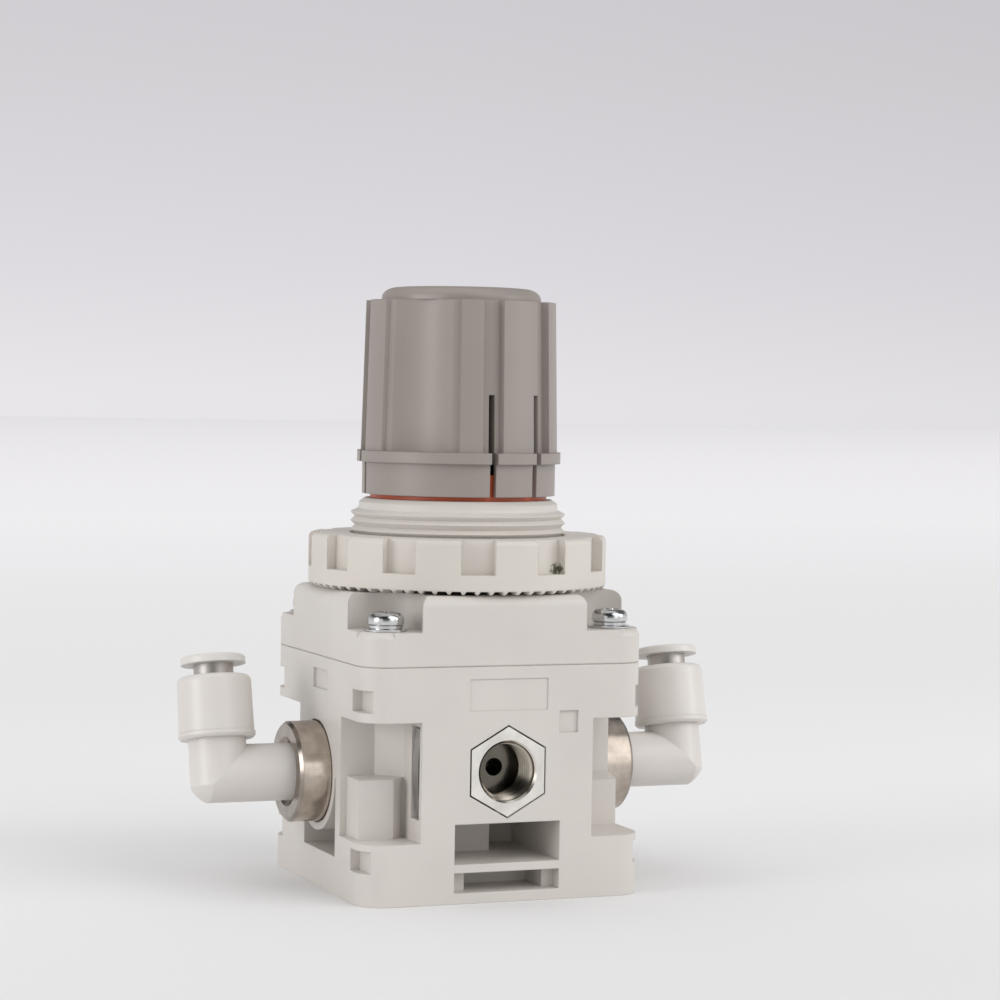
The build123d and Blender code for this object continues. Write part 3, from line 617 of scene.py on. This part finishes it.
def add_knob():
    """Knob with the photograph's ribs, deep scooped bays and rounded cap."""
    foot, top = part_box("knob")
    bottom, peak = foot[2] / MM, top[2] / MM
    collar, grip = bottom + COLLAR_BOTTOM, bottom + GRIP_BOTTOM
    slot_top, roof, shoulder = bottom + SLOT_TOP, peak - ROOF_DEPTH, peak - SHOULDER_DEPTH
    columns = knob_columns()
    count = len(columns)
    # Bands from the foot upwards: heights, outer radius where it is round, hollow, slots
    bands = ((bottom, collar, SKIRT_RADIUS, SKIRT_HOLLOW, True),
             (collar, grip, COLLAR_RADIUS, KNOB_HOLLOW, True),
             (grip, slot_top, None, KNOB_HOLLOW, True),
             (slot_top, roof, None, KNOB_HOLLOW, False),
             (roof, shoulder, None, AXIS_HOLE, False))
    mesh = bmesh.new()

    def face(*points):
        """Face through points given as column, radius and height."""
        mesh.faces.new([polar(mesh, radius, columns[column % count][0], height)
                        for column, radius, height in points])

    def hollow(band):
        return bands[band][3]

    def outer(band, column, height):
        """Outer radius, which on the grip leans inwards with the height."""
        if bands[band][2]:
            return bands[band][2]
        lean = 2.0 * KNOB_LEAN * (height - grip) / (shoulder - grip)
        return columns[column % count][1] + KNOB_LEAN - lean

    def solid(band, column):
        return not (bands[band][4] and columns[column % count][2])

    def add_walls(band, column):
        """Outer and inner wall of one column in one band, and its sides next to a slot."""
        low, high = bands[band][0], bands[band][1]
        after = column + 1
        face((column, outer(band, column, low), low), (after, outer(band, after, low), low),
             (after, outer(band, after, high), high), (column, outer(band, column, high), high))
        inner = hollow(band)
        if inner > AXIS_HOLE:
            face((column, inner, low), (column, inner, high), (after, inner, high),
                 (after, inner, low))
        for edge, neighbour in ((column, column - 1), (after, after)):
            if not solid(band, neighbour):
                face((edge, inner, low), (edge, outer(band, edge, low), low),
                     (edge, outer(band, edge, high), high), (edge, inner, high))

    def level_spans(index, column, height):
        """Flat faces of one column at one level: radii at its start and end, inner and outer."""
        after = column + 1
        below = index > 0 and solid(index - 1, column)
        above = index < len(bands) and solid(index, column)
        if below and above:
            return ((hollow(index - 1), hollow(index - 1), hollow(index), hollow(index)),
                    (outer(index - 1, column, height), outer(index - 1, after, height),
                     outer(index, column, height), outer(index, after, height)))
        if not (below or above):
            return ()
        band = index - 1 if below else index
        inner = CAP_RADIUS if index == len(bands) else hollow(band)
        return ((inner, inner, outer(band, column, height), outer(band, after, height)),)

    for band in range(len(bands)):
        for column in range(count):
            if solid(band, column):
                add_walls(band, column)
    for index, height in enumerate([bottom] + [band[1] for band in bands]):
        for column in range(count):
            after = column + 1
            for near, near_after, far, far_after in level_spans(index, column, height):
                if abs(far - near) > SAME or abs(far_after - near_after) > SAME:
                    face((column, near, height), (after, near_after, height),
                         (after, far_after, height), (column, far, height))
    cap = [(CAP_RADIUS, shoulder), (CAP_RADIUS, shoulder + CAP_RIM)]
    for step in range(1, CAP_STEPS + 1):
        turn = math.pi / 2.0 * step / CAP_STEPS
        cap.append((CAP_RADIUS - CAP_ROUND + CAP_ROUND * math.cos(turn),
                    shoulder + CAP_RIM + CAP_RISE * math.sin(turn)))
    cap.append((AXIS_HOLE, peak))
    for (radius, height), (next_radius, next_height) in zip(cap, cap[1:]):
        for column in range(count):
            face((column, radius, height), (column + 1, radius, height),
                 (column + 1, next_radius, next_height), (column, next_radius, next_height))
    bmesh.ops.remove_doubles(mesh, verts=mesh.verts, dist=WELD * MM)
    bmesh.ops.dissolve_degenerate(mesh, dist=0.5 * WELD * MM, edges=mesh.edges)
    knob = finished(mesh, "ribbed_knob", bpy.data.materials["knob_finish"], CREASE)
    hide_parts("knob")
    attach(knob, "knob_body")


def smooth_step(low, high, value):
    share = min(1.0, max(0.0, (value - low) / (high - low)))
    return share * share * (3.0 - 2.0 * share)


def cross_depth(radius, angle):
    """Depth of a screw head's cross recess at a point, in millimetres."""
    turn = (angle + math.pi / 4.0) % (math.pi / 2.0) - math.pi / 4.0
    along = radius * math.cos(turn)
    across = abs(radius * math.sin(turn))
    inside = 1.0 - smooth_step(CROSS_WIDTH - CROSS_SIDE_SLOPE, CROSS_WIDTH, across)
    before_end = 1.0 - smooth_step(CROSS_LENGTH - CROSS_END_SLOPE, CROSS_LENGTH, along)
    return CROSS_DEPTH * inside * before_end


def bevelled(radius, bevel, low, high):
    """Outline of a washer's rim with its bevels, across and upwards."""
    across, up = bevel
    return [(radius - across, low), (radius, low + up), (radius, high - up),
            (radius - across, high)]


def screw_profile(seat, head_seat, top, foot):
    """Outline of a pan-head screw on its spring and flat washers: radius and height."""
    flat_top = seat + FLAT_THICKNESS
    spring_low = flat_top + WASHER_GAP
    spring_top = head_seat - WASHER_GAP
    outline = [(AXIS_HOLE, foot), (SHANK_RADIUS, foot), (SHANK_RADIUS, seat)]
    outline += bevelled(FLAT_RADIUS, FLAT_BEVEL, seat, flat_top)
    outline += [(SPRING_NECK, flat_top), (SPRING_NECK, spring_low)]
    outline += bevelled(SPRING_RADIUS, SPRING_BEVEL, spring_low, spring_top)
    outline += [(HEAD_NECK, spring_top), (HEAD_NECK, head_seat)]
    outline += [(radius, head_seat + height) for radius, height in HEAD_RIM]
    shoulder = head_seat + HEAD_SHOULDER
    for step in range(1, HEAD_STEPS + 1):
        turn = math.pi / 2.0 * step / HEAD_STEPS
        outline.append((CROWN_RADIUS + HEAD_ROUND * math.cos(turn) ** HEAD_FULLNESS,
                        shoulder + (top - shoulder) * math.sin(turn) * HEAD_RISE))
    return outline


def add_screw(corner, turn):
    """Pan-head screw with its washers, in the place of the plain ones."""
    low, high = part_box("washer_" + corner)
    foot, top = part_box("screw_" + corner)
    centre = ((low[0] + high[0]) / 2.0, (low[1] + high[1]) / 2.0)
    peak = top[2] / MM
    outline = screw_profile(low[2] / MM, high[2] / MM, peak, foot[2] / MM)
    crown_foot = outline[-1][1]
    mesh = bmesh.new()

    def crown(radius, angle):
        """Height of the crown at a point."""
        rise = (peak - crown_foot) * (1.0 - (radius / CROWN_RADIUS) ** 2)
        return crown_foot + rise - cross_depth(radius, angle + math.radians(turn))

    angles = full_turn(SCREW_SIDES)
    rings = [[polar(mesh, radius, angle, height, centre) for angle in angles]
             for radius, height in outline]
    for step in range(1, CROWN_RINGS + 1):
        radius = CROWN_RADIUS * (1.0 - step / CROWN_RINGS) + CROWN_HOLE
        rings.append([polar(mesh, radius, angle, crown(radius, angle), centre)
                      for angle in angles])
    skin(mesh, rings)
    screw = finished(mesh, "pan_head_screw_" + corner, bpy.data.materials["zinc_finish"],
                     SCREW_CREASE)
    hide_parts("screw_" + corner, "washer_" + corner)
    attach(screw, "housing")


def add_screws():
    for index, corner in enumerate(CORNERS):
        add_screw(corner, SCREW_TURN + index * SCREW_TURN_STEP)


def add_camera():
    """Camera at the photograph's place."""
    heading = math.radians(CAMERA_HEADING)
    down = math.radians(CAMERA_DOWN)
    roll = math.radians(CAMERA_ROLL)
    forward = Vector((math.sin(heading) * math.cos(down), math.cos(heading) * math.cos(down),
                      -math.sin(down)))
    level = Vector((math.cos(heading), -math.sin(heading), 0.0))
    upright = level.cross(forward)
    right = level * math.cos(roll) + upright * math.sin(roll)
    up = upright * math.cos(roll) - level * math.sin(roll)
    data = bpy.data.cameras.new("photo_camera")
    data.sensor_width = SENSOR
    data.lens = CAMERA_LENS
    data.clip_start = CLIP_NEAR
    data.clip_end = CLIP_FAR
    camera = in_scene("photo_camera", data)
    matrix = camera.matrix_world.copy()
    for row in range(3):
        matrix[row][0] = right[row]
        matrix[row][1] = up[row]
        matrix[row][2] = -forward[row]
        matrix[row][3] = CAMERA_PLACE[row] * MM
    camera.matrix_world = matrix
    bpy.context.scene.camera = camera


def camera_sees(tree, lit, seen):
    """Mix a lit surface with a plain colour for the camera, mirrors and glass."""
    rays = tree.nodes.new("ShaderNodeLightPath").outputs
    seen_or_mirrored = maths(tree, "MAXIMUM", rays["Is Camera Ray"], rays["Is Glossy Ray"])
    factor = maths(tree, "MAXIMUM", seen_or_mirrored, rays["Is Transmission Ray"])
    mix = tree.nodes.new("ShaderNodeMixShader")
    link(tree, factor, mix.inputs[0])
    link(tree, lit, mix.inputs[1])
    link(tree, seen, mix.inputs[2])
    return mix.outputs[0]


def add_world():
    """Even light, a pale backdrop that darkens upwards, and a near side for mirrors."""
    world = bpy.data.worlds.new("pale_room")
    bpy.context.scene.world = world
    world.use_nodes = True
    tree = world.node_tree
    direction = along_axes(tree, "Generated")
    lit = tree.nodes["Background"]
    feed(tree, lit.inputs["Color"], (1.0, 1.0, 1.0))
    strength = remapped(tree, direction["Y"], -1.0, 1.0, WORLD_NEAR, WORLD_FAR)
    link(tree, strength, lit.inputs["Strength"])
    near = blended(tree, "MULTIPLY", stepped(tree, direction["Z"], NEAR_SIDE),
                   stepped(tree, direction["X"], NEAR_SIDES))
    far = blended(tree, "MULTIPLY", stepped(tree, direction["Z"], BACKDROP),
                  stepped(tree, direction["X"], BACKDROP_SIDES))
    depth = remapped(tree, direction["Y"], NEAR_END, BACKDROP_START, smooth=True)
    seen = tree.nodes.new("ShaderNodeBackground")
    feed(tree, seen.inputs["Strength"], 1.0)
    feed(tree, seen.inputs["Color"], blended(tree, "MIX", near, far, depth))
    mixed = camera_sees(tree, lit.outputs[0], seen.outputs[0])
    link(tree, mixed, tree.nodes["World Output"].inputs["Surface"])


def add_floor():
    """Pale floor whose tones, painted light and shade, change with the distance behind the
    object.
    """
    mesh = bpy.data.meshes.new("floor")
    mesh.from_pydata([(-FLOOR_HALF, -FLOOR_HALF, 0), (FLOOR_HALF, -FLOOR_HALF, 0),
                      (FLOOR_HALF, FLOOR_HALF, 0), (-FLOOR_HALF, FLOOR_HALF, 0)], [],
                     [(0, 1, 2, 3)])
    floor = in_scene("floor", mesh)
    material, tree, shader = node_material("floor_painted_light")
    # Painted light and shade: the floor's colour changes with the distance behind the object
    tones = stepped(tree, along_axes(tree, "Object")["Y"], FLOOR_PAINTED_LIGHT)
    link(tree, tones, shader.inputs["Base Color"])
    shader.inputs["Roughness"].default_value = FLOOR_ROUGHNESS
    shader.inputs["Specular IOR Level"].default_value = 0.0
    mesh.materials.append(material)


def add_lights():
    """Soft suns and square lamps."""
    for name, source, power, spread in SUNS:
        data = bpy.data.lights.new(name, "SUN")
        data.energy = power
        data.angle = math.radians(spread)
        sun = in_scene(name, data)
        sun.rotation_euler = Vector(source).to_track_quat("Z", "Y").to_euler()
    for name, place, size, power in LAMPS:
        data = bpy.data.lights.new(name, "AREA")
        data.size = size * MM
        data.energy = power
        lamp = in_scene(name, data)
        lamp.location = Vector(place) * MM
        aim = (Vector(LAMP_AIM) - Vector(place)) * MM
        lamp.rotation_euler = aim.to_track_quat("-Z", "Y").to_euler()


bpy.context.scene.view_settings.view_transform = "Standard"
dress_all()
smooth_edges()
add_port_thread()
add_neck_thread()
add_knob()
add_screws()
add_camera()
add_world()
add_floor()
add_lights()
